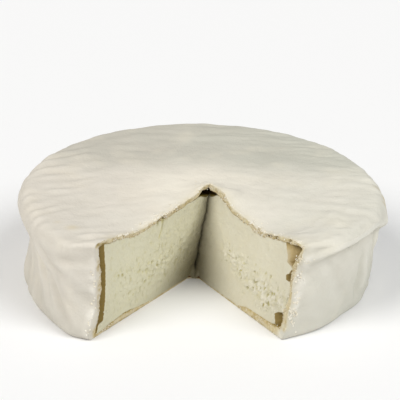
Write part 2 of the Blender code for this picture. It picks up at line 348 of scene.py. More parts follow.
def pinch(azimuth, height, low):
    """How far the corners beside the two cuts draw in, most of all at the top."""
    eased = 1 - PINCH_AT_FOOT
    right = swell(azimuth, RIGHT_CUT, RIGHT_PINCH_SPREAD) * (1 - eased * low)
    left = swell(azimuth, LEFT_CUT, LEFT_PINCH_SPREAD) * (1 - eased * smooth(1 - height / LEFT_PINCH_EASE))
    return -PINCH_DEPTH * (right + left)


def wall_shift(azimuth, height):
    """How far the side wall stands out from the regular wheel."""
    lip = swell(azimuth, LIP_SIDE, LIP_SPREAD)
    waist = swell(azimuth, WAIST_SIDE, WAIST_SPREAD)
    low = smooth(1 - height / STEP_HEIGHT)
    tuck = FRONT_TUCK * smooth((FRONT_TUCK_END - azimuth) / FRONT_TUCK_FADE)
    tuck = tuck + RIGHT_TUCK * swell(azimuth, RIGHT_TUCK_SIDE, RIGHT_TUCK_SPREAD)
    heel = HEEL_BULGE * (1 - lip + HEEL_AT_WAIST * waist) * bell(height, HEEL_HEIGHT, HEEL_SPREAD)
    rim = sum(out * swell(azimuth, side, spread) for side, spread, out in RIM_BULGES)
    swollen, at_height, over_height, spread = RIGHT_SWELL
    beside_cut = swollen * bell(height, at_height, over_height) * swell(azimuth, RIGHT_CUT, spread)
    shift = rim * (1 - low) - tuck * low + heel + beside_cut
    return shift + step_shift(azimuth, height, lip, waist) + pinch(azimuth, height, low)


def wall_folds(azimuth, height):
    """Soft slanting folds, deepest on the left, and two creases at the right."""
    along = np.radians(azimuth) * WHEEL_RADIUS
    turn = 2 * math.pi * (along + FOLD_SLANT * height) / FOLD_SPACING
    turn = turn + FOLD_WANDER * np.sin(along / FOLD_WANDER_LENGTH)
    strength = FOLD_LEAST + FOLD_EXTRA * swell(azimuth, FOLD_SIDE, FOLD_SPREAD)
    between = smooth(height / FOLDS_FADE_IN) * smooth((FOLDS_TOP - height) / FOLDS_FADE_OUT)
    low = smooth(height / CREASE_FADE_IN) * smooth((CREASE_TOP - height) / CREASE_FADE_OUT)
    creases = sum(swell(azimuth, crease, CREASE_WIDTH) for crease in CREASES)
    return FOLD_DEPTH * strength * between * np.sin(turn) - CREASE_DEPTH * low * creases


def top_sag(azimuth, radius):
    """How far the top lies from a flat one."""
    rise = DISH_RISE * smooth((radius - DISH_RADIUS) / DISH_SLOPE) - DISH_DEPTH
    for side, spread, middle, width, lift in TOP_SAGS:
        rise = rise + lift * swell(azimuth, side, spread) * bell(radius, middle, width)
    return rise + BACK_RISE * swell(azimuth, BACK_SIDE, BACK_SPREAD) * smooth((radius - BACK_RADIUS) / BACK_SLOPE)


def azimuth_of(places):
    return np.degrees(np.arctan2(places[:, 0], -places[:, 1])) % 360


def ripple(x, y):
    """The ridges across the top, which arch towards the back, stray, and come and go near the rim."""
    flat = np.stack([x, y, np.zeros(len(x))], axis=1)
    azimuth = azimuth_of(flat)
    turn = 2 * math.pi * (y + x * x / (2 * RIPPLE_ARCH)) / RIPPLE_SPACING
    for size, along_x, along_y, start in RIPPLE_WANDER:
        turn = turn + size * np.sin(x / along_x + y / along_y + start)
    turn = turn + RIPPLE_STRAY * lumps(flat, RIPPLE_STRAY_SIZE, 61)
    patchy = np.clip(0.5 + 1.5 * lumps(flat, RIPPLE_PATCH, 62), 0.05, 1.25)
    here = sum(strength * swell(azimuth, side, spread) for side, spread, strength in RIPPLE_SIDES)
    near_rim = smooth((np.hypot(x, y) - RIPPLES_FROM) / RIPPLES_SLOPE)
    return RIPPLE_DEPTH * patchy * (RIPPLE_INSIDE + (1 - RIPPLE_INSIDE) * near_rim * here) * np.sin(turn)


def wrinkles(places, azimuth, radius):
    """Fine wrinkles and soft arcs in the top, near the rim."""
    stray = 3.0 * lumps(places, 11, 63)
    short = np.clip(0.25 + 1.6 * lumps(places * np.array([0.35, 1.0, 1.0]), 6, 64), 0, 1)
    fine = short * np.sin(2 * math.pi * (places[:, 1] + 0.2 * places[:, 0]) / WRINKLE_SPACING + stray)
    fine = fine * swell(azimuth, WRINKLE_SIDE, WRINKLE_SPREAD) * smooth((radius - 66) / 16)
    patchy = np.clip(0.6 + 1.2 * lumps(places, 16, 65), 0, 1)
    arcs = patchy * np.sin(2 * math.pi * radius / ARC_SPACING + stray)
    arcs = arcs * swell(azimuth, ARC_SIDE, ARC_SPREAD) * smooth((radius - 64) / 14)
    return WRINKLE_DEPTH * fine + ARC_DEPTH * arcs


def wall_creases(azimuth, height):
    """The slanting folds, the crease under the lip with its roll, the dimple and the upright folds."""
    along = np.radians(azimuth) * WHEEL_RADIUS
    grid = np.stack([(along + SLANT * height) / SLANT_FOLD_WIDTH, height / SLANT_FOLD_LENGTH, 0 * height], axis=1)
    strength = 0.25 + swell(azimuth, SLANT_SIDE, SLANT_SPREAD)
    between = smooth((height - 2) / 8) * smooth((48 - height) / 12)
    shift = SLANT_FOLDS * strength * between * lumps(grid, 1.0, 71)
    grid = np.stack([along / DRAPE_LENGTH, (height + 0.1 * along) / DRAPE_WIDTH, 0 * height], axis=1)
    between = smooth((height - 22) / 10) * smooth((52 - height) / 4)
    shift = shift + DRAPES * swell(azimuth, DRAPE_SIDE, DRAPE_SPREAD) * between * lumps(grid, 1.0, 72)

    at_height, spread, depth = LIP_CREASE
    lip = swell(azimuth, *LIP_CREASE_SIDE)
    shift = shift - depth * bell(height, at_height, spread) * lip
    at_height, spread, depth = LIP_ROLL
    shift = shift + depth * bell(height, at_height, spread) * lip
    side, wide, at_height, spread, depth = DIMPLE
    shift = shift - depth * swell(azimuth, side, wide) * bell(height, at_height, spread)
    for side, at_height, spread, depth in UPRIGHT_FOLDS:
        fold = 0.7 * swell(azimuth, side + 4, 2.4) - swell(azimuth, side, 1.3)
        shift = shift + depth * fold * bell(height, at_height, spread)
    return shift


def settle(azimuth, radius, height):
    """Where points of the regular wheel lie in the slumped cheese, about the wheel's own axis, in mm."""
    share = radius / WHEEL_RADIUS
    up = height / WHEEL_HEIGHT

    # The wall's form dies away towards the axis, and its folds sooner
    lean = RIGHT_CUT_LEAN * (1 - up) * smooth(1 - (azimuth - RIGHT_CUT) / LEAN_REACH)
    out = radius + share**2 * wall_shift(azimuth, height) + share**4 * wall_folds(azimuth, height)
    turned = np.radians(azimuth - lean)
    x = out * np.sin(turned)
    y = -out * np.cos(turned)

    x = x + (TIP_FOOT[0] + (TIP_TOP[0] - TIP_FOOT[0]) * up) * (1 - share)
    y = y + (TIP_FOOT[1] + (TIP_TOP[1] - TIP_FOOT[1]) * up) * (1 - share)
    y = y - WEB_REACH * smooth(1 - height / WEB_HEIGHT) * smooth(1 - radius / TIP_RING)

    near_top = smooth((up - RIPPLES_DOWN_TO) / (RIPPLES_FULL - RIPPLES_DOWN_TO))
    rise = top_sag(azimuth, radius) * smooth(up) + ripple(x, y) * near_top
    slip = bell(height, STEP_HEIGHT, SLIP_SPREAD) * smooth((WHEEL_HEIGHT - height) / RIM_ROLL_DOWN)
    slip = slip * smooth(height / FOOT_ROLL_UP)
    rise = rise + share**2 * slip * lip_shift(azimuth)
    return np.stack([x, y, height + rise], axis=1)


def crowd(azimuth, strength, reach):
    """Moves evenly spaced stations closer to the two cuts."""
    past = azimuth - RIGHT_CUT
    left = ROUND - past
    pulled = past - strength * reach * (1 - np.exp(-past / reach) + np.exp(-left / reach))
    return RIGHT_CUT + pulled * ROUND / (ROUND - 2 * strength * reach)


def from_cut(azimuth, radius):
    """How far points lie from the nearer cut, in mm, and whether that is the right one."""
    right = azimuth - RIGHT_CUT
    left = LEFT_CUT - azimuth
    return np.radians(np.minimum(right, left)) * radius, right < left


def cut_normal(on_right):
    """The horizontal direction out of the nearer cut face, into the notch."""
    right = math.radians(RIGHT_CUT)
    left = math.radians(LEFT_CUT)
    x = np.where(on_right, -math.cos(right), math.cos(left))
    y = np.where(on_right, -math.sin(right), math.sin(left))
    return np.stack([x, y, np.zeros(len(x))], axis=1)


def gap_edges(height, on_right):
    """The paste's edge and the rind's inside at the nearer cut, as regular radii."""
    edges = []
    for column in (1, 2):
        both = [
            np.interp(height, [row[0] for row in gap], [row[column] for row in gap]) for gap in (LEFT_GAP, RIGHT_GAP)
        ]
        edges.append(np.where(on_right, both[1], both[0]))
    paste_edge, inside = edges
    ragged = GAP_RAGGED * (np.sin(1.1 * height) + 0.8 * np.sin(2.7 * height + 1))
    ragged = ragged * smooth((inside - paste_edge) / 2)
    return paste_edge + 0.4 * ragged, inside + np.where(on_right, 0, ragged)


def deselect_all():
    bpy.ops.object.select_all(action="DESELECT")


def choose(thing, chosen):
    """Selects these vertices of the object, ready for edit mode."""
    mesh = thing.data
    mesh.polygons.foreach_set("select", np.zeros(len(mesh.polygons), bool))
    mesh.edges.foreach_set("select", np.zeros(len(mesh.edges), bool))
    mesh.vertices.foreach_set("select", chosen)


def spin_chosen(thing, chosen, steps, copies=False):
    choose(thing, chosen)
    bpy.ops.object.mode_set(mode="EDIT")
    bpy.ops.mesh.spin(
        steps=steps, dupli=copies, angle=-math.radians(ROUND), center=(0, 0, 0), axis=(0, 0, 1)
    )
    bpy.ops.object.mode_set(mode="OBJECT")


def places_of(thing):
    """The object's vertices, one row each."""
    places = np.empty(len(thing.data.vertices) * 3)
    thing.data.vertices.foreach_get("co", places)
    return places.reshape(-1, 3)


def put(thing, places):
    thing.data.vertices.foreach_set("co", places.ravel())
    thing.data.update()


def give(thing, name, values):
    """Writes one number for each vertex under a name that the materials read."""
    layer = thing.data.attributes.get(name) or thing.data.attributes.new(name, "FLOAT", "POINT")
    layer.data.foreach_set("value", np.asarray(values, np.float32))


def take(thing, name):
    values = np.empty(len(thing.data.vertices), np.float32)
    thing.data.attributes[name].data.foreach_get("value", values)
    return values.astype(float)


def draw_section(name, columns, rows):
    """A flat grid, whose two directions are kept as numbers from 0 to columns and to rows."""
    deselect_all()
    bpy.ops.mesh.primitive_grid_add(x_subdivisions=columns, y_subdivisions=rows, size=2)
    thing = bpy.context.active_object
    thing.name = name
    thing.data.name = name
    places = places_of(thing)
    give(thing, "across", np.round((places[:, 0] + 1) / 2 * columns))
    give(thing, "along", np.round((1 - places[:, 1]) / 2 * rows))
    return thing


def stand_up(thing, radius, height):
    """Places the section in the plane of the right cut."""
    turn = math.radians(RIGHT_CUT)
    put(thing, np.stack([radius * math.sin(turn), -radius * math.cos(turn), height], axis=1))


def close_up(thing):
    """Merges what meets and turns the faces outwards."""
    choose(thing, np.ones(len(thing.data.vertices), bool))
    bpy.ops.object.mode_set(mode="EDIT")
    bpy.ops.mesh.remove_doubles(threshold=0.01)
    bpy.ops.mesh.dissolve_degenerate(threshold=0.005)
    bpy.ops.object.mode_set(mode="OBJECT")


def face_out(thing):
    choose(thing, np.ones(len(thing.data.vertices), bool))
    bpy.ops.object.mode_set(mode="EDIT")
    bpy.ops.mesh.normals_make_consistent(inside=False)
    bpy.ops.object.mode_set(mode="OBJECT")
    bpy.ops.object.shade_smooth()


def outline(step, radius, top, foot, rim_in, rim_down, foot_in, foot_up):
    """A wheel's section at the given steps, from the top's middle over the rim and the foot to the base's middle."""
    ends = np.cumsum([0, TOP_COLUMNS, RIM_ROWS, WALL_ROWS, FOOT_ROWS, BASE_COLUMNS])
    shares = [np.clip((step - low) / (high - low), 0, 1) for low, high in zip(ends[:-1], ends[1:])]
    rim = shares[1] * math.pi / 2
    heel = shares[3] * math.pi / 2
    flat = radius - rim_in
    base = radius - foot_in
    r = flat * (1 - (1 - shares[0]) ** 1.2) + rim_in * np.sin(rim) - foot_in * (1 - np.cos(heel)) - base * shares[4]
    wall = top - rim_down - foot - foot_up
    h = top - rim_down * (1 - np.cos(rim)) - wall * shares[2] - foot_up * np.sin(heel)
    return r, h


def outward(step):
    """How much of the outside's direction is sideways and how much is up."""
    start = TOP_COLUMNS
    rim = np.clip((step - start) / RIM_ROWS, 0, 1) * math.pi / 2
    foot = np.clip((step - start - RIM_ROWS - WALL_ROWS) / FOOT_ROWS, 0, 1) * math.pi / 2
    return np.sin(rim + foot), np.cos(rim + foot)


def near_cut(azimuth):
    """1 at the two cuts, and 0 away from them."""
    beside, on_right = from_cut(azimuth, WHEEL_RADIUS)
    return bell(beside, 0, CUT_REACH), on_right


def base_thickness(azimuth, radius):
    near, on_right = near_cut(azimuth)
    right, left = (np.interp(radius, *zip(*table)) for table in (RIGHT_BASE, LEFT_BASE))
    return SKIN_BASE + (np.where(on_right, right, left) - SKIN_BASE) * near


def curl(azimuth, radius, column):
    """How far the top, the rind's underside or the paste has risen at the tip, by the curls' rows."""
    past = azimuth - RIGHT_CUT
    rise = 0
    beside = 0
    for rows, turn in ((RIGHT_CURL, past), (LEFT_CURL, ROUND - past)):
        here = bell(turn, 0, CURL_TURN)
        rise = rise + here * np.interp(radius, [row[0] for row in rows], [row[column] for row in rows])
        beside = beside + here
    return rise + (1 - beside) * RIGHT_CURL[0][column] * bell(radius, 0, CURL_BEHIND)


def top_thickness(azimuth, radius):
    near, on_right = near_cut(azimuth)
    start = np.where(on_right, 2.0, 0.0)
    uneven = TOP_UNEVEN * (np.sin(radius / TOP_WAVE + start) + 0.7 * np.sin(radius / 1.7 + 3 * start))
    return SKIN_TOP + near * (CUT_TOP - SKIN_TOP + uneven)


def rim_kept(azimuth):
    """How much of the rim's roll is left near the cuts."""
    sharp = swell(azimuth, RIGHT_CUT, CUT_RIM_SPREAD) + swell(azimuth, LEFT_CUT, CUT_RIM_SPREAD)
    return 1 - (1 - CUT_RIM_KEPT) * np.clip(sharp, 0, 1)


def skin_places(step, depth, azimuth):
    """Regular radius and height of points in the rind, 0 deep outside and 1 deep inside."""
    near, on_right = near_cut(azimuth)
    kept = rim_kept(azimuth)
    outer_r, outer_h = outline(
        step, WHEEL_RADIUS, WHEEL_HEIGHT, 0, RIM_ROLL_IN * kept, RIM_ROLL_DOWN * kept, FOOT_ROLL_IN, FOOT_ROLL_UP
    )
    top = top_thickness(azimuth, outer_r)
    foot = base_thickness(azimuth, outer_r)
    _, inside = gap_edges(outer_h, on_right)
    side = SKIN_SIDE + (WHEEL_RADIUS - inside - SKIN_SIDE) * near
    inner_r, inner_h = outline(
        step, WHEEL_RADIUS - side, WHEEL_HEIGHT - top, foot, INNER_RIM_IN * kept, INNER_RIM_DOWN * kept, 1.5, 2.0
    )
    return outer_r + (inner_r - outer_r) * depth, outer_h + (inner_h - outer_h) * depth


def make_rind(fluff_height):
    """A closed shell: its section is drawn at the right cut, and its outside and its inside are spun round."""
    rows = TOP_COLUMNS + RIM_ROWS + WALL_ROWS + FOOT_ROWS + BASE_COLUMNS
    rind = draw_section("rind", SKIN_LAYERS, rows)
    depth = take(rind, "across") / SKIN_LAYERS
    step = take(rind, "along")
    stand_up(rind, *skin_places(step, depth, np.full(len(step), RIGHT_CUT)))
    section = len(step)
    spin_chosen(rind, depth == 0, OUTER_STATIONS)
    drawn = np.arange(len(rind.data.vertices)) < section
    spin_chosen(rind, drawn & (take(rind, "across") == SKIN_LAYERS), INNER_STATIONS)
    drawn = np.arange(len(rind.data.vertices)) < section
    spin_chosen(rind, drawn, 1, copies=True)
    close_up(rind)

    places = places_of(rind)
    depth = take(rind, "across") / SKIN_LAYERS
    step = take(rind, "along")
    azimuth = crowd(np.clip(azimuth_of(places), RIGHT_CUT, LEFT_CUT), 0.6, 2.0)
    radius, height = skin_places(step, depth, azimuth)
    settled = settle(azimuth, radius, height)
    risen = curl(azimuth, radius, 1) * (1 - depth) + curl(azimuth, radius, 2) * depth
    settled[:, 2] += risen * smooth((height - 25) / 15)
    settled = finish_skin(rind, settled, step, depth, azimuth, radius, height, fluff_height)
    put(rind, (settled + np.array([*CENTRE, 0.0])) * MM)
    face_out(rind)
    return rind


def finish_skin(rind, places, step, depth, azimuth, radius, height, fluff_height):
    """The rind's small relief and the numbers that colour it, among them painted light and shade: the ridge shading,
    the light round the notch's tip and the shade in the hollow at the tip.
    """
    beside, on_right = from_cut(azimuth, radius)
    sideways, upwards = outward(step)
    turn = np.radians(azimuth)
    out = np.stack([sideways * np.sin(turn), -sideways * np.cos(turn), upwards], axis=1)
    shown = (1 - depth) * smooth((height - 0.3) / 4)

    soft = 0.55 * lumps(places, 24, 1) + 0.3 * lumps(places, 12, 2) + 0.16 * lumps(places, 5, 3)
    soft = soft + 0.07 * lumps(places, 2.5, 4)
    streaks = places * np.array([0.22, 1.0, 0.6])
    fine = 0.2 * lumps(streaks, 3.2, 7) * smooth((radius - 55) / 40) + wrinkles(places, azimuth, radius)
    foot = FOOT_UNEVEN * lumps(places, 8, 21) * smooth((14 - height) / 10) * sideways
    creases = wall_creases(azimuth, height) * sideways
    relief = (soft + fine * upwards + creases + foot) * shown
    places = places + out * relief[:, None]

    # The cut edge is torn: it stands out of the cut by a varying amount
    edge = np.clip(1 - beside / 2.5, 0, 1) * smooth((radius - 3) / 6)
    torn = 0.35 + 0.5 * lumps(places, 2.2, 5) + 0.3 * lumps(places, 6, 6)
    torn = torn * edge * np.where(depth < 1, 1.0, 0.3) * smooth(height / 3)
    opened = edge_holes(radius, on_right) * smooth((depth - 0.2) / 0.2) * smooth((height - 46) / 3)
    sunk = EDGE_HOLE_DEPTH * opened
    places = places + cut_normal(on_right) * (torn - sunk * np.clip(1 - beside / 2.5, 0, 1))[:, None]

    # Fluffy lumps of mould beside the cuts
    fluffy = fluff(places, depth, beside, on_right, radius, height)
    near = fluffy > 0.02
    domes = np.zeros(len(places))
    domes[near] = 0.9 * domed(places[near], 3.0) + 0.4 * domed(places[near] + 5, 1.6)
    places = places + out * (fluff_height * fluffy * domes * shown)[:, None]

    on_cut = (beside < 0.05) & (depth > 0.02)
    patches = np.zeros(len(places))
    patches[on_cut] = lumps(places[on_cut], 4.0, 8) + 0.5 * lumps(places[on_cut], 1.7, 9)
    left_corner = ~on_right * smooth((radius - 86) / 5)
    top_edge = smooth((height - 46 - 3.5 * left_corner) / (3 - left_corner))
    foot_edge = smooth((7 - height) / 3)
    side_edge = (1 - top_edge) * (1 - foot_edge)
    specks = sum(bell(height, *speck) for speck in LEFT_SPECKS)
    lines = bell(depth, 0.25, 0.2) + bell(depth, 1.0, 0.25)
    side_tan = np.where(on_right, 0.25 + 0.6 * lines, specks * smooth((depth - 0.1) / 0.4))
    hook = bell(radius, 92, 4) * smooth((depth - 0.45) / 0.25) + bell(radius, 97, 1.6) * smooth((height - 50.5) / 1.5)
    hook = 0.9 * ~on_right * smooth((height - 47) / 2) * hook
    tan = top_edge * smooth((depth - 0.12) / 0.3) * (np.where(on_right, 0.3, 0.5) + 1.1 * patches)
    tan = tan + side_edge * side_tan * (0.8 + 0.9 * patches)
    base_line = 0.25 + bell(depth, 0.1, 0.2) * bell(radius, 56, 28) + 0.8 * bell(depth, 1.0, 0.25)
    tan = tan + foot_edge * (base_line + np.clip(1.5 * patches - 0.2, 0, 1))
    white_corner = foot_edge * smooth((radius - np.where(on_right, 90, 92.5) - 3 * depth) / 3)
    give(rind, "tan", np.where(on_cut, np.clip(tan, 0, 1) * (1 - white_corner), 0))
    creamy = np.maximum(np.maximum(top_edge, foot_edge), np.where(on_right, 0.9, 0.15)) * (1 - white_corner)
    beside_cream = np.where(on_right, 0.4, 0.55 * smooth((height - 44) / 4)) * np.exp(-beside / 2.6) * (1 - white_corner)
    beside_cream = beside_cream * (1 - left_corner)
    give(rind, "cream", np.where(on_cut, creamy * smooth(depth / 0.4), 0) + beside_cream * (1 - on_cut * smooth(depth / 0.4)))
    paste_edge, inside = gap_edges(height, on_right)
    at_gap = (inside - paste_edge > 0.6) | (radius < np.where(on_right, TIP_HOLLOW_RIGHT, TIP_HOLLOW_LEFT))
    holes = np.clip(1.5 * opened + hook, 0, 1) * on_cut
    give(rind, "inside", np.where((depth > 0.99) & (at_gap | (beside > 0.05)), 1.0, holes))
    # Painted shade: the rind's underside in the hollow under the curl at the notch's tip is darkened towards the Hollow
    # colour.
    give(rind, "hollow", np.where(depth > 0.99, np.exp(-((radius / 14) ** 4)), 0.0))
    give(rind, "beside", beside)
    give(rind, "side", sideways)
    # Painted light: the top is made paler round the notch's tip, where the light falls most brightly.
    give(rind, "near_tip", np.exp(-((np.hypot(places[:, 0] + 6, places[:, 1]) / 34) ** 2)) * upwards)
    off = [(swell(azimuth, side, np.degrees(wide / 97.0)) * bell(radius, at, wide), much) for side, at, wide, much in STAINS]
    give(rind, "stain", sum(here * much for here, much in off) * smooth((height - 42) / 4))
    give(rind, "white", fluffy * np.clip(0.4 + domes, 0, 1))
    # Painted light and shade: the relief's height, with the creases and ripples, makes the crests lighter and the
    # troughs and creases greyer.
    give(rind, "ridge", relief + creases + ripple(places[:, 0], places[:, 1]) * upwards)
    return places


def edge_holes(radius, on_right):
    """1 at the holes between the rind and the paste, along the top edge."""
    return sum((on_right == side) * np.exp(-(((radius - at) / size) ** 4)) for side, at, size in EDGE_HOLES)


def fluff(places, depth, beside, on_right, radius, height):
    """How thickly the mould stands up beside the cuts, from 0 to 1."""
    clumps = np.clip(0.5 + 1.3 * lumps(places, 6, 31), 0, 1)
    top = smooth((height - 44) / 4)
    left_top = ~on_right * top * np.exp(-beside / 3.0) * (0.3 + bell(radius, 52, 26)) * smooth((88 - radius) / 6)
    right_top = on_right * top * np.exp(-beside / 2.5) * smooth((radius - 20) / 10)
    beads = bell(height, 20, 7) + bell(height, 39, 7)
    right_side = on_right * (1 - top) * bell(beside, 4.0, 3.0) * (0.3 + 1.1 * beads) * smooth(height / 6)
    left_side = 0.5 * ~on_right * (1 - top) * bell(beside, 1.0, 2.0) * smooth(height / 6)
    return np.clip((left_top + right_top + right_side + left_side) * clumps, 0, 1) * (1 - depth)


def paste_places(column, row, azimuth):
    """Regular radius and height of points on the paste's section."""
    beside, on_right = from_cut(azimuth, WHEEL_RADIUS)
    near, _ = near_cut(azimuth)
    into = smooth(1 - beside / (math.radians(GAP_DEPTH) * WHEEL_RADIUS))
    rough = WHEEL_RADIUS * column / PASTE_COLUMNS
    foot = base_thickness(azimuth, rough) - OVERLAP
    top = WHEEL_HEIGHT - top_thickness(azimuth, rough) + OVERLAP + curl(azimuth, rough, 3)
    height = foot + (top - foot) * row / PASTE_ROWS
    paste_edge, inside = gap_edges(height, on_right)
    edge = WHEEL_RADIUS - SKIN_SIDE + (inside - WHEEL_RADIUS + SKIN_SIDE) * near + OVERLAP
    edge = edge - (inside - paste_edge) * into
    roll = smooth((height - top) / INNER_RIM_DOWN + 1)
    edge = edge - INNER_RIM_IN * rim_kept(azimuth) * roll * roll * (1 - into)

    # The gap's edge moves the outer columns alone, so that the cells stay even further in
    share = column / PASTE_COLUMNS
    plain = WHEEL_RADIUS - SKIN_SIDE
    outer = np.clip((share - GAP_PULLS_FROM) / (1 - GAP_PULLS_FROM), 0, 1)
    return plain * share + (edge - plain) * outer**2.5, height


def curd(radius, height, on_right, dome_height, pit_depth):
    """The relief of the cut paste: how far it stands out, how deep in a pit it is, with painted shade in the creases
    between lumps, how rough, and how pale, a painted highlight on the lumps' tops.
    """
    flat = np.stack([radius, height, np.where(on_right, 40.0, 0.0)], axis=1)
    patches = lumps(flat, 9, 10)
    base = 0.3 * lumps(flat, 14, 11) + 0.14 * lumps(flat, 5, 12) + 0.05 * lumps(flat, 1.6, 13)
    line = np.interp(radius, *zip(*RIGHT_ROUGH_LINE))
    wide = np.interp(radius, *zip(*RIGHT_ROUGH_WIDTH))
    right_rough = bell(height, line, wide) * smooth((radius - 16) / 12)
    left_rough = bell(height, 27 - 0.1 * radius, 17) * (0.35 + 0.6 * bell(radius, 34, 22) + 0.4 * bell(radius, 66, 14))
    rough = np.where(on_right, 1.15 * right_rough, 0.7 * left_rough)
    rough = np.clip(rough * (1 + 0.6 * patches) - 0.08, 0, 1)

    # Rounded lumps with creases between them where the curd has crumbled, and pits where bits have come out
    warped = flat + 0.8 * np.stack([lumps(flat, 3, 14), lumps(flat, 3, 15), 0 * radius], axis=1)
    domes = rough * (domed(warped, CURD_DOME_SIZE) + 0.6 * domed(warped, 0.5 * CURD_DOME_SIZE))
    holes = lumps(flat, 2.3, 16) + 0.6 * lumps(flat, 1.2, 17)
    pit = smooth((holes - 0.6 + 0.3 * rough) / 0.3) * np.clip(0.15 + 1.2 * rough, 0, 1)
    specks = smooth((lumps(flat * np.array([1.0, 0.6, 1.0]), 1.7, 18) - 0.18) / 0.4)
    pit = np.maximum(pit, 0.5 * specks * np.where(on_right, 0.6 * rough, np.clip(1.5 * left_rough, 0.3, 1)))
    for side, at, high, size, deep in CURD_DENTS:
        off = np.hypot(radius - at, height - high) / size + 0.35 * patches
        here = (on_right == side) * np.exp(-(off**4))
        pit = np.maximum(pit, deep * here)

    # The crack below the left top edge
    along = np.interp(height, *zip(*CRACK))
    crack = bell(radius, along, CRACK_WIDTH) * smooth((height - CRACK[0][0]) / 3) * ~on_right
    pit = np.maximum(pit, crack)
    below_rind = smooth((height - 47) / 3)
    pit = np.maximum(pit, edge_holes(radius, on_right) * below_rind * ~on_right)
    # Painted shade and highlight: the creases between the lumps take the pits' dark colour, and the lumps' tops are
    # made paler.
    crease = rough * np.clip(0.7 - domes, 0, 1)
    relief = base + dome_height * domes - pit_depth * pit
    return relief, np.maximum(pit, 0.4 * crease), rough, rough * np.clip(1.2 * domes - 0.5, 0, 1)


def domed(points, size):
    """Rounded cells of about that size, from 0 in the creases to 1 on their tops."""
    return np.array([1.2 - 1.6 * noise.voronoi(point)[0][0] for point in (points / size).tolist()])


def make_paste(dome_height, pit_depth):
    """The inside: a section drawn at the right cut, spun round, with its far end copied to the left cut."""
    paste = draw_section("paste", PASTE_COLUMNS, PASTE_ROWS)
    column = take(paste, "across")
    row = PASTE_ROWS - take(paste, "along")
    give(paste, "along", row)
    stand_up(paste, *paste_places(column, row, np.full(len(column), RIGHT_CUT)))
    section = len(column)
    rim = (row == 0) | (row == PASTE_ROWS) | (column == PASTE_COLUMNS)
    spin_chosen(paste, rim, PASTE_STATIONS)
    drawn = np.arange(len(paste.data.vertices)) < section
    spin_chosen(paste, drawn, 1, copies=True)
    close_up(paste)

    places = places_of(paste)
    column = take(paste, "across")
    row = take(paste, "along")
    azimuth = crowd(np.clip(azimuth_of(places), RIGHT_CUT, LEFT_CUT), 0.93, 20.0)
    radius, height = paste_places(column, row, azimuth)
    settled = settle(azimuth, radius, height)

    beside, on_right = from_cut(azimuth, radius)
    on_cut = beside < 0.02
    relief, pit, rough, painted_top_light = np.zeros((4, len(radius)))
    faces = curd(radius[on_cut], height[on_cut], on_right[on_cut], dome_height, pit_depth)
    relief[on_cut], pit[on_cut], rough[on_cut], painted_top_light[on_cut] = faces
    above, below = (gap_edges(height + step, on_right)[0] for step in (0.5, -0.5))
    slanted = (above - below) * (column / PASTE_COLUMNS) ** 4
    shown = smooth((radius - 1) / 5) / (1 + slanted**2)
    settled = settled + cut_normal(on_right) * (relief * shown)[:, None]

    # The crevice where the faces meet is shallow at the top and deeper towards the foot
    low = smooth(1 - height / 45)
    settled[:, 1] += (2.2 + 1.8 * low) * np.exp(-radius / 0.6) * smooth((height - 4) / 4)
    upright = np.stack([height, 0 * height, 0 * height], axis=1)
    settled[:, 0] += (0.7 * lumps(upright, 7, 21) + 0.6 * lumps(upright, 2.5, 22)) * np.exp(-radius / 2.5)
    give(paste, "pit", pit)
    give(paste, "rough", rough)
    # Painted highlight: the tops of the crumbled lumps are made paler.
    give(paste, "pale", painted_top_light)
    give(paste, "left", np.where(on_right, 0.0, 1.0))
    paste_edge, inside = gap_edges(height, on_right)
    # On the right the paste's side darkens from honey to brown deeper into the gap and towards the top under the rind:
    # the brown is the dried paste's colour, and the darkening into the gap is painted shade.
    honey = np.where(on_right & (height > 36), 0.3 + 0.6 * smooth((height - 44) / 7), 0.9)
    skin = np.where(on_right, honey + (1 - honey) * smooth((beside - 0.6) / 4), 1.0)
    open_gap = (column == PASTE_COLUMNS) & (inside - paste_edge > 0.6)
    give(paste, "dried", np.where(on_cut & ~open_gap, 0.0, skin))

    # The shade painted into the curd's colour in the notch reaches further out at the foot, most of all on the left
    # face. It also darkens the crevice line, the paste's top under the curled rind and the lower and outer parts of the
    # cut faces.
    reach = np.where(on_right, 6.8 + 11.5 * low, 7.0 + 26.0 * low)
    fade = np.exp(-((radius / reach) ** np.where(on_right, 1.4, 2.2)))
    top_shade = np.exp(-((radius / 12) ** 4)) * (row == PASTE_ROWS)
    shades = ((0.58 + 0.26 * low) * fade, np.exp(-radius / 0.8), top_shade)
    outer_shade = 0.11 * smooth(1 - height / 34) + 0.07 * smooth((radius - 66) / 20)
    give(paste, "tip", np.clip(np.max(shades, axis=0) + outer_shade * on_cut, 0, 1))
    put(paste, (settled + np.array([*CENTRE, 0.0])) * MM)
    face_out(paste)
    return paste


def pick(thing, weights, count, draw, stray=0.0):
    """Places and normals of that many of the object's vertices, in mm, drawn by their weights."""
    chosen = draw.choice(len(weights), count, p=weights / weights.sum())
    normals = np.empty(len(weights) * 3)
    thing.data.vertices.foreach_get("normal", normals)
    places = places_of(thing)[chosen] / MM
    inwards = (places - np.array([*CENTRE, 0.0])) * np.array([1.0, 1.0, 0.0])
    inwards = inwards / np.linalg.norm(inwards, axis=1, keepdims=True)
    return places - inwards * draw.normal(0, 1, (count, 1)) * stray, normals.reshape(-1, 3)[chosen]


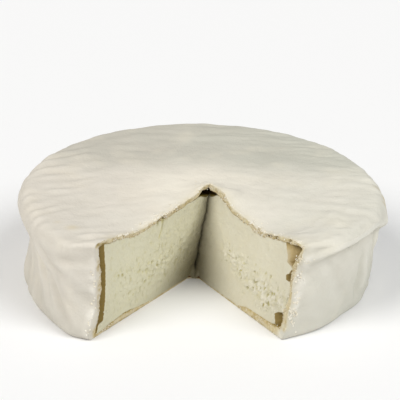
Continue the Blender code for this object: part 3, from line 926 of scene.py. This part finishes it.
def make_grains(name, groups, seed):
    """Lumpy grains, each of its own shape: groups of (places, normals, least size, largest size, tan)."""
    draw = np.random.default_rng(seed)
    places = np.concatenate([group[0] for group in groups])
    normals = np.concatenate([group[1] for group in groups])
    sizes = np.concatenate([draw.uniform(group[2], group[3], len(group[0])) for group in groups])
    tans = np.concatenate([np.full(len(group[0]), group[4]) for group in groups])
    count = len(places)

    deselect_all()
    bpy.ops.mesh.primitive_ico_sphere_add(subdivisions=2, radius=1)
    thing = bpy.context.active_object
    thing.name = name
    thing.data.name = name
    copies = thing.modifiers.new("copies", "ARRAY")
    copies.count = count
    copies.use_relative_offset = False
    copies.use_constant_offset = True
    copies.constant_offset_displace = (GRAIN_STEP, 0, 0)
    bpy.ops.object.modifier_apply(modifier=copies.name)

    grains = places_of(thing).reshape(count, -1, 3)
    grains[:, :, 0] -= GRAIN_STEP * np.arange(count)[:, None]
    dents = lumps((grains + 9 * draw.random((count, 1, 3))).reshape(-1, 3), 1.1).reshape(count, -1, 1)
    grains = grains * (1 + 0.45 * dents) * draw.uniform(0.6, 1.15, (count, 1, 3)) * sizes[:, None, None]
    spins, _ = np.linalg.qr(draw.normal(size=(count, 3, 3)))
    grains = np.einsum("nij,nvj->nvi", spins * np.sign(np.linalg.det(spins))[:, None, None], grains)
    proud = np.einsum("nvi,ni->nv", grains, normals)
    grains = grains - (1 - GRAIN_FLAT) * proud[:, :, None] * normals[:, None, :]
    middles = places + normals * (GRAIN_OUT * sizes)[:, None] + draw.normal(0, 0.25, (count, 3))
    grains = grains + middles[:, None, :]
    grains[:, :, 2] = np.maximum(grains[:, :, 2], 0.05)
    each = grains.shape[1]
    give(thing, "tan", np.repeat(np.clip(tans + draw.normal(0, 0.2, count) * (tans > 0), 0, 1), each))
    give(thing, "shade", np.repeat(draw.random(count), each))
    put(thing, grains.reshape(-1, 3) * MM)
    bpy.ops.object.shade_smooth()
    return thing


def rind_weights(rind):
    """What the scattering needs to know of the rind's vertices: azimuth, radius, height, depth, side and cut."""
    places = places_of(rind) / MM - np.array([*CENTRE, 0.0])
    depth = take(rind, "across") / SKIN_LAYERS
    beside = take(rind, "beside")
    on_right = places[:, 0] > 0
    return places, depth, beside, on_right


def make_fluff(rind):
    """White lumps of mould along the cut edges of the rind."""
    draw = np.random.default_rng(5)
    places, depth, beside, on_right = rind_weights(rind)
    radius = np.hypot(places[:, 0], places[:, 1])
    height = places[:, 2]
    thick = fluff(places, depth, beside, on_right, radius, height) * (depth == 0) * (height > 42)
    tip = (depth == 0) * (radius < 13) * (height > 46.0)
    wall = (depth == 0) * (height > 4) * (height < 40) * (radius > 80)
    clumps = np.clip(0.3 + 1.5 * lumps(places, 5, 32), 0, 1)
    right_wall = wall * on_right * bell(beside, 3.2, 2.2) * clumps
    left_wall = wall * ~on_right * bell(beside, 0.6, 1.4) * clumps
    groups = [
        (*pick(rind, thick**2, 260, draw), 0.25, 0.6, 0.0),
        (*pick(rind, tip * 1.0, 24, draw), 0.3, 0.6, 0.2),
        (*pick(rind, right_wall, 120, draw), 0.3, 0.7, 0.0),
        (*pick(rind, left_wall, 50, draw), 0.25, 0.55, 0.0),
    ]
    return make_grains("rind_fluff", groups, 6)


def make_crumbs(rind):
    """Tan and cream crumbs on the rind's cut edges."""
    draw = np.random.default_rng(8)
    places, depth, beside, on_right = rind_weights(rind)
    radius = np.hypot(places[:, 0], places[:, 1])
    height = places[:, 2]
    clumps = np.clip(0.2 + 1.4 * lumps(places, 6, 41), 0, 1)
    on_cut = (beside < 0.3) & (depth > 0.1) & (depth < 0.99)
    top = on_cut & (height > 44)
    left_top = top & ~on_right & (radius < 84)
    right_top = top & on_right
    left_side = on_cut & ~on_right & (height < 44) & (height > 6) & (depth > 0.5)
    right_side = on_cut & on_right & (height < 44) & (height > 8)
    right_base = on_cut & on_right & (height < 7) & (radius > 42)
    left_base = on_cut & ~on_right & (height < 6) & (radius > 30)
    groups = []
    for mask, count, least, most, tan, stray in (
        (left_top, 400, 0.25, 0.6, 0.7, 0.5), (right_top, 340, 0.25, 0.6, 0.55, 0.5), (left_side, 40, 0.3, 0.5, 0.6, 0),
        (right_side, 150, 0.2, 0.42, 0.5, 0), (right_base, 110, 0.2, 0.42, 0.4, 1.5), (left_base, 60, 0.2, 0.42, 0.3, 1.5),
        (left_top, 120, 0.25, 0.6, 0.25, 0.5), (right_top, 110, 0.25, 0.6, 0.25, 0.5),
    ):
        groups.append((*pick(rind, mask * clumps, count, draw, stray), least, most, tan))
    return make_grains("rind_crumbs", groups, 9)


def make_curds(paste):
    """Loose bits of curd on the crumbled parts of the two cut faces."""
    draw = np.random.default_rng(11)
    rough = take(paste, "rough") * (take(paste, "pit") < 0.2)
    places = places_of(paste) / MM
    clumps = np.clip(lumps(places, 4, 51) - 0.05, 0, 1)
    groups = [(*pick(paste, rough**1.5 * clumps, 140, draw, 0.4), 0.25, 0.5, 0.0)]
    return make_grains("curd_bits", groups, 12)


class Wire:
    """A node's output that takes arithmetic, which adds the Math nodes for it."""

    def __init__(self, nodes, socket):
        self.nodes = nodes
        self.socket = socket

    def node_output(self, name):
        """Another output of the same node."""
        return Wire(self.nodes, self.socket.node.outputs[name])

    def math(self, operation, *others):
        return self.nodes.add("ShaderNodeMath", {"operation": operation}, [self, *others])

    def __add__(self, other):
        return self.math("ADD", other)

    __radd__ = __add__

    def __mul__(self, other):
        return self.math("MULTIPLY", other)

    __rmul__ = __mul__

    def __sub__(self, other):
        return self.math("SUBTRACT", other)

    def __rsub__(self, other):
        return (self * -1) + other

    def clamped(self):
        return self.nodes.add("ShaderNodeClamp", {}, {"Value": self}, "Result")


class Nodes:
    """A material's node tree."""

    def __init__(self, name):
        self.material = bpy.data.materials.new(name)
        self.material.use_nodes = True
        self.tree = self.material.node_tree
        self.shader = self.tree.nodes["Principled BSDF"]
        self.place = self.add("ShaderNodeTexCoord", {}, {}, "Object")

    def add(self, kind, settings, inputs, output=0):
        node = self.tree.nodes.new(kind)
        for name, value in settings.items():
            if name == "stops":
                self.set_stops(node.color_ramp, value)
            else:
                setattr(node, name, value)
        pairs = inputs.items() if isinstance(inputs, dict) else enumerate(inputs)
        for name, value in pairs:
            self.set(node.inputs[name], value)
        return Wire(self, node.outputs[output])

    def set(self, socket, value):
        if isinstance(value, Wire):
            self.tree.links.new(value.socket, socket)
        else:
            socket.default_value = value

    def set_stops(self, ramp, stops):
        while len(ramp.elements) < len(stops):
            ramp.elements.new(0.5)
        for element, (place, colour) in zip(ramp.elements, stops):
            element.position = place
            element.color = colour

    def noise(self, size, detail=3.0, rough=0.5, stretch=None):
        """Noise from 0 to 1, with features of about that size in metres."""
        place = self.place
        if stretch:
            place = self.add("ShaderNodeMapping", {}, {"Vector": place, "Scale": stretch}, "Vector")
        inputs = {"Vector": place, "Scale": 1 / size, "Detail": detail, "Roughness": rough}
        return self.add("ShaderNodeTexNoise", {}, inputs, 0)

    def number(self, name):
        return self.add("ShaderNodeAttribute", {"attribute_name": name}, {}, "Fac")

    def mix(self, factor, first, second):
        settings = {"data_type": "RGBA", "clamp_factor": True}
        return self.add("ShaderNodeMix", settings, {0: factor, 6: first, 7: second}, 2)

    def bump(self, height, depth, under=None):
        inputs = {"Height": height, "Distance": depth, "Strength": 1.0}
        if under:
            inputs["Normal"] = under
        return self.add("ShaderNodeBump", {}, inputs, "Normal")

    def finish(self, **values):
        for name, value in values.items():
            self.set(self.shader.inputs[name.replace("_", " ")], value)
        return self.material


def rind_material(settings):
    nodes = Nodes("bloomy_rind")
    broad = nodes.noise(0.035, 3)
    middle = nodes.noise(0.008, 4)
    fine = nodes.noise(0.0012, 3, 0.6)
    place = nodes.add("ShaderNodeSeparateXYZ", {}, {"Vector": nodes.place}, "X")
    across = place.node_output("X")
    back = place.node_output("Y")
    # Partly painted light and shade: the ridge shading lightens the crests and greys the troughs, mixed with the
    # mould's random tone.
    ridge = nodes.number("ridge")
    light = (ridge * 0.3 + broad * 0.6 + middle * 0.9 - 0.35).clamped()
    colour = nodes.mix(light, (*settings.groove, 1), (*settings.bloom, 1))
    side = nodes.number("side")
    up = place.node_output("Z")
    # Painted shade: the top greys towards the back, and the side walls grey more on the left and lower down, by how
    # light falls.
    shade = (back + across * 0.09 - 0.004) * 38 + (broad - 0.5) * 1.5
    shade = shade.clamped() * (1 - side)
    painted_wall_shade = (side * (0.62 - across * 1.6 - up * 14) + (broad - 0.5) * 0.4).clamped()
    colour = nodes.mix(shade + painted_wall_shade, colour, (*settings.painted_shade_grey, 1))
    warm = nodes.noise(0.02, 2, 0.5) * 4 - 2.1
    colour = nodes.mix(warm.clamped() * 0.35, colour, (*settings.warm, 1))
    # Painted light: the top is paler round the notch's tip.
    colour = nodes.mix(nodes.number("near_tip") * 0.9, colour, (*settings.pale, 1))
    rosy = nodes.noise(0.022, 2, 0.5) - across * 7 - 0.15
    colour = nodes.mix(rosy.clamped() * 0.35, colour, (*settings.rosy, 1))
    green = nodes.noise(0.027, 2, 0.5) + across * 7 - 0.25
    colour = nodes.mix(green.clamped() * 0.35, colour, (*settings.green, 1))
    colour = nodes.mix(nodes.number("stain") * (fine + 0.4), colour, (*settings.tan, 1))
    colour = nodes.mix(nodes.number("white"), colour, (*settings.fluff, 1))
    mottle = (nodes.noise(0.003, 3, 0.6) * 5 - 2.0).clamped()
    colour = nodes.mix(nodes.number("cream") * (mottle * 0.5 + 0.55), colour, (*settings.cream, 1))
    blotch = (nodes.noise(0.0022, 3, 0.6) * 6 - 2.6).clamped()
    tan = (nodes.number("tan") * (fine * 0.5 + blotch * 0.9 + 0.2)).clamped()
    colour = nodes.mix(tan, colour, (*settings.cut_edge, 1))
    colour = nodes.mix(nodes.number("inside"), colour, (*settings.inside, 1))
    # Painted shade: the rind's underside in the hollow at the tip is darkened.
    colour = nodes.mix(nodes.number("hollow"), colour, (*settings.hollow, 1))
    normal = nodes.bump(fine, 0.0003)
    normal = nodes.bump(middle, 0.0006, normal)
    return nodes.finish(Base_Color=colour, Roughness=0.75, Normal=normal)


def paste_material(settings):
    nodes = Nodes("curd_paste")
    broad = nodes.noise(0.02, 3)
    middle = nodes.noise(0.004, 3)
    fine = nodes.noise(0.0014, 4, 0.6)
    mottle = (broad * 0.8 + middle * 1.1 - 0.45).clamped()
    colour = nodes.mix(mottle, (*settings.paste, 1), (*settings.paste_warm, 1))
    colour = nodes.mix(nodes.number("left") * 0.6, colour, (*settings.paste_green, 1))
    flecks = (nodes.noise(0.0024, 3, 0.6) * 5 - 2.9).clamped()
    colour = nodes.mix(nodes.number("left") * flecks * 0.35, colour, (*settings.pit_yellow, 1))
    # Painted highlight on the tops of the crumbled lumps.
    colour = nodes.mix(nodes.number("pale") * 0.8, colour, (*settings.curd, 1))
    # The pits' colour, which also paints shade into the creases between the lumps.
    yellow = nodes.mix((middle * 4 - 1.6).clamped(), (*settings.pit, 1), (*settings.pit_yellow, 1))
    colour = nodes.mix(nodes.number("pit").clamped(), colour, yellow)
    # Honey, then brown: the dried paste on the side in the gaps, with painted shade where it darkens deeper into the
    # gap.
    dried = nodes.number("dried")
    colour = nodes.mix((dried * 2).clamped(), colour, (*settings.honey, 1))
    colour = nodes.mix((dried * 2 - 1).clamped(), colour, (*settings.dried, 1))
    # Painted shade: the notch, the crevice line, the paste's top under the curled rind and the lower and outer cut
    # faces are darkened towards the Tip colour.
    colour = nodes.mix(nodes.number("tip") * 0.85, colour, (*settings.tip, 1))
    normal = nodes.bump(fine, 0.0004)
    normal = nodes.bump(middle, 0.0006, normal)
    return nodes.finish(Base_Color=colour, Roughness=0.55, Normal=normal)


def crumb_material(settings):
    nodes = Nodes("rind_crumb")
    shade = nodes.number("shade")
    pale = nodes.mix(shade, (*settings.fluff, 1), (*settings.warm, 1))
    dark = nodes.mix(shade, (*settings.tan, 1), (*settings.cut_edge, 1))
    colour = nodes.mix(nodes.number("tan"), pale, dark)
    normal = nodes.bump(nodes.noise(0.0005, 2), 0.0001)
    return nodes.finish(Base_Color=colour, Roughness=0.75, Normal=normal)


def floor_material(settings):
    nodes = Nodes("pale_floor")
    return nodes.finish(Base_Color=(*settings.floor, 1), Roughness=0.8)


def colour_property(name, description, default):
    return FloatVectorProperty(
        name=name, description=description, subtype="COLOR", size=3, min=0, max=1, default=default
    )


def size_property(name, description, millimetres):
    return FloatProperty(name=name, description=description, unit="LENGTH", min=0, default=millimetres * MM)


class RindSettings(bpy.types.PropertyGroup):
    # Bloom and Groove are mixed by the mould's random tone and by the ridge shading, which is painted light and shade.
    bloom: colour_property("Bloom", "The white mould on the ridges", (0.80, 0.76, 0.67))
    groove: colour_property("Groove", "The rind between the ridges", (0.66, 0.62, 0.53))
    cut_edge: colour_property("Cut edge", "The rind where the knife went through it", (0.465, 0.36, 0.165))
    tan: colour_property("Tan", "The lighter crumbs on the rind's cut edge", (0.62, 0.495, 0.25))
    cream: colour_property("Cream", "The cream crumbs among the white ones", (0.66, 0.57, 0.345))
    # Grey is the colour of the painted shade at the top's back and on the side walls.
    painted_shade_grey: colour_property("Grey", "The greyer mould at the back and on the walls", (0.50, 0.485, 0.41))
    warm: colour_property("Warm", "The creamy patches in the white mould", (0.84, 0.77, 0.61))
    # Pale is the colour of the painted light round the notch's tip.
    pale: colour_property("Pale", "The pale mould round the notch's tip", (0.92, 0.86, 0.73))
    rosy: colour_property("Rosy", "The faintly pink mould on the left", (0.66, 0.60, 0.53))
    green: colour_property("Greenish", "The faintly green mould on the right", (0.72, 0.74, 0.65))
    fluff: colour_property("Fluff", "The whitest mould, beside the cuts", (0.88, 0.85, 0.77))
    inside: colour_property("Inside", "The rind's inner side, where it has let go", (0.26, 0.175, 0.03))
    # Hollow is the colour of the painted shade under the curled rind at the tip.
    hollow: colour_property("Hollow", "Under the rind at the notch's tip", (0.13, 0.06, 0.015))
    fluff_height: size_property("Fluff height", "How high the fluffy lumps beside the cuts stand", 0.9)


class PasteSettings(bpy.types.PropertyGroup):
    paste: colour_property("Paste", "The curd at the cut faces", (0.74, 0.71, 0.575))
    paste_warm: colour_property("Warm paste", "Where the curd is a little yellower", (0.72, 0.67, 0.51))
    # Tip is the colour of the painted shade in the notch, not the curd's own colour.
    tip: colour_property("Tip", "The moist curd where the two cut faces meet", (0.10, 0.072, 0.006))
    paste_green: colour_property("Green paste", "The curd at the left cut", (0.69, 0.672, 0.485))
    # The pits' colour also paints shade into the creases between the crumbled lumps.
    pit: colour_property("Pits", "The bottoms of the small openings", (0.42, 0.38, 0.18))
    pit_yellow: colour_property("Yellow pits", "The yellower ones", (0.60, 0.54, 0.22))
    # Curd is the colour of a painted highlight on the tops of the crumbled lumps.
    curd: colour_property("Curd", "The tops of the crumbled lumps", (0.84, 0.80, 0.68))
    # Honey and Dried paste are the paste's own colours in the gaps, and their darkening deeper into the gap is painted
    # shade.
    honey: colour_property("Honey", "The paste's side where it has only begun to dry", (0.54, 0.41, 0.19))
    dried: colour_property("Dried paste", "The paste's side in the gap behind the rind", (0.23, 0.15, 0.02))
    curd_height: size_property("Curd height", "How far the crumbled lumps stand out of the cut faces", 1.0)
    pit_depth: size_property("Pit depth", "How deep the small openings are", 0.8)


class StageSettings(bpy.types.PropertyGroup):
    floor: colour_property("Floor", "The pale floor", (0.92, 0.92, 0.92))
    distance: FloatProperty(
        name="Camera distance", description="From the wheel's middle", unit="LENGTH", default=1.058, min=0.3
    )
    elevation: FloatProperty(
        name="Camera elevation", description="Above the horizon", subtype="ANGLE", default=math.radians(24.8)
    )
    lens: FloatProperty(name="Lens", description="Focal length", unit="CAMERA", default=173.4, min=20)


class CHEESE_OT_rind(bpy.types.Operator):
    """Makes the rind as a closed shell"""

    bl_idname = "cheese.rind"
    bl_label = "Rind"

    def execute(self, context):
        settings = context.scene.cheese_rind
        rind = make_rind(settings.fluff_height / MM)
        rind.data.materials.append(rind_material(settings))
        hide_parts("cheese")
        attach(rind, "root")
        return {"FINISHED"}


class CHEESE_OT_paste(bpy.types.Operator):
    """Makes the paste inside the rind"""

    bl_idname = "cheese.paste"
    bl_label = "Paste"

    def execute(self, context):
        settings = context.scene.cheese_paste
        paste = make_paste(settings.curd_height / MM, settings.pit_depth / MM)
        paste.data.materials.append(paste_material(settings))
        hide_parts("cheese")
        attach(paste, "root")
        return {"FINISHED"}


class CHEESE_OT_grains(bpy.types.Operator):
    """Scatters fluff and crumbs on the cut edges, and bits of curd on the cut faces"""

    bl_idname = "cheese.grains"
    bl_label = "Fluff and crumbs"

    def execute(self, context):
        rind = bpy.data.objects["rind"]
        paste = bpy.data.objects["paste"]
        crumb = crumb_material(context.scene.cheese_rind)
        for grains, material, slot in (
            (make_fluff(rind), crumb, "rind"),
            (make_crumbs(rind), crumb, "rind"),
            (make_curds(paste), paste.data.materials[0], "paste"),
        ):
            grains.data.materials.append(material)
            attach(grains, "root")
        return {"FINISHED"}


def add_sun(name, azimuth, elevation, strength, spread, colour):
    """A soft light from that side, by the azimuths of the wheel."""
    deselect_all()
    level = math.cos(elevation)
    towards = Vector((math.sin(azimuth) * level, -math.cos(azimuth) * level, math.sin(elevation)))
    bpy.ops.object.light_add(type="SUN", location=towards)
    light = bpy.context.active_object
    light.name = name
    light.data.energy = strength
    light.data.angle = spread
    light.data.color = colour
    light.rotation_euler = towards.to_track_quat("Z", "Y").to_euler()


class CHEESE_OT_stage(bpy.types.Operator):
    """Makes the floor, the lights and the camera"""

    bl_idname = "cheese.stage"
    bl_label = "Stage"

    def execute(self, context):
        settings = context.scene.cheese_stage
        deselect_all()
        bpy.ops.mesh.primitive_plane_add(size=8)
        floor = bpy.context.active_object
        floor.name = "floor"
        floor.data.materials.append(floor_material(settings))

        for name, azimuth, strength, colour in (
            ("left_light", -55, 1.75, (1.0, 0.985, 0.96)),
            ("right_light", 55, 1.5, (0.98, 0.99, 1.0)),
        ):
            add_sun(name, math.radians(azimuth), math.radians(47), strength, math.radians(35), colour)

        world = bpy.data.worlds.new("studio")
        world.use_nodes = True
        world.node_tree.nodes["Background"].inputs["Color"].default_value = (1, 1, 1, 1)
        world.node_tree.nodes["Background"].inputs["Strength"].default_value = 0.3
        context.scene.world = world
        context.scene.view_settings.view_transform = "Standard"

        back = Vector((0, -math.cos(settings.elevation), math.sin(settings.elevation)))
        middle = Vector((CENTRE[0], CENTRE[1], 27)) * MM
        bpy.ops.object.camera_add(location=middle + back * settings.distance)
        camera = bpy.context.active_object
        camera.name = "camera"
        camera.data.lens = settings.lens
        camera.data.clip_start = 0.05
        pitch = math.atan(32.5 / 1927)
        yaw = math.atan(1.0 / 1927)
        camera.rotation_euler = (math.pi / 2 - settings.elevation + pitch, 0, yaw)
        context.scene.camera = camera
        return {"FINISHED"}


class CHEESE_PT_panel(bpy.types.Panel):
    """The cheese's pieces, in the sidebar"""

    bl_idname = "CHEESE_PT_panel"
    bl_label = "Goat cheese"
    bl_space_type = "VIEW_3D"
    bl_region_type = "UI"
    bl_category = "Cheese"

    def draw(self, context):
        for operator in OPERATORS:
            self.layout.operator(operator.bl_idname)


OPERATORS = (CHEESE_OT_rind, CHEESE_OT_paste, CHEESE_OT_grains, CHEESE_OT_stage)
SETTINGS = {"cheese_rind": RindSettings, "cheese_paste": PasteSettings, "cheese_stage": StageSettings}


def register():
    for group in (*SETTINGS.values(), *OPERATORS, CHEESE_PT_panel):
        bpy.utils.register_class(group)
    for name, group in SETTINGS.items():
        setattr(bpy.types.Scene, name, PointerProperty(type=group))


def unregister():
    for name in SETTINGS:
        delattr(bpy.types.Scene, name)
    for group in (CHEESE_PT_panel, *reversed(OPERATORS), *SETTINGS.values()):
        bpy.utils.unregister_class(group)


def main():
    register()
    bpy.ops.cheese.rind()
    bpy.ops.cheese.paste()
    bpy.ops.cheese.grains()
    bpy.ops.cheese.stage()


if __name__ == "__main__":
    main()
